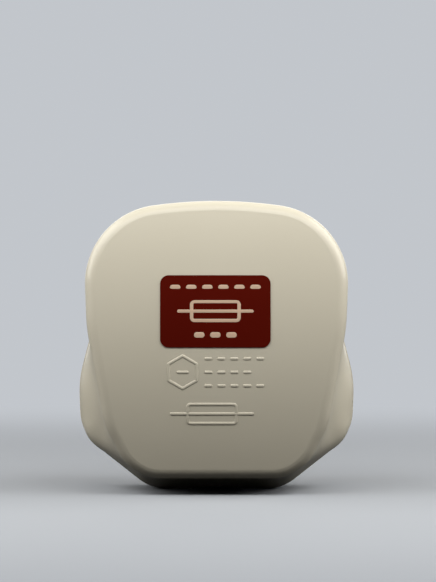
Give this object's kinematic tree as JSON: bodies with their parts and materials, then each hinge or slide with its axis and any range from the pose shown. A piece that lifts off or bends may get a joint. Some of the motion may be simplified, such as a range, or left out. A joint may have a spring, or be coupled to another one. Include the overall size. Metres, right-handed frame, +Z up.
{
  "type": "UK three pin plug",
  "caption": "Rewirable fused UK mains plug in ivory plastic, with a crowned back, finger grips, a red-brown label and flat brass pins.",
  "frame": {"origin": "on the engagement face, midway between the live and the neutral pin", "axes": "+X to the live side, +Y out along the pins, +Z up to the earth pin"},
  "size_m": [0.0508, 0.0493, 0.0532],
  "materials": {
    "ivory_plastic": "glossy moulded thermoset",
    "pin_brass": "drawn and polished",
    "pin_sleeve": "black insulating sleeve",
    "clip_bronze": "spring bronze strip",
    "screw_steel": "zinc plated",
    "fuse_ceramic": "unglazed",
    "fuse_cap_metal": "nickel plated",
    "fuse_wire_metal": "bare silvered wire",
    "clamp_fibre": "red-brown pressed fibre",
    "label_paper": "printed gloss label"
  },
  "bodies": {
    "root": {"cover": "ivory_plastic", "base": "ivory_plastic", "earth_pin": "pin_brass", "neutral_pin": "pin_brass", "live_pin": "pin_brass", "neutral_pin_sleeve": "pin_sleeve", "live_pin_sleeve": "pin_sleeve", "lower_fuse_clip": "clip_bronze", "upper_fuse_clip": "clip_bronze", "live_terminal": "pin_brass", "terminal_screws": "screw_steel", "fuse_body": "fuse_ceramic", "fuse_wire": "fuse_wire_metal", "fuse_cap_lower": "fuse_cap_metal", "fuse_cap_upper": "fuse_cap_metal", "cover_screw": "screw_steel", "cover_screw_retainer": "clamp_fibre", "cover_insert": "pin_brass", "cord_clamp": "clamp_fibre", "cord_clamp_screws": "screw_steel", "fuse_label": "label_paper"}
  },
  "joints": []
}
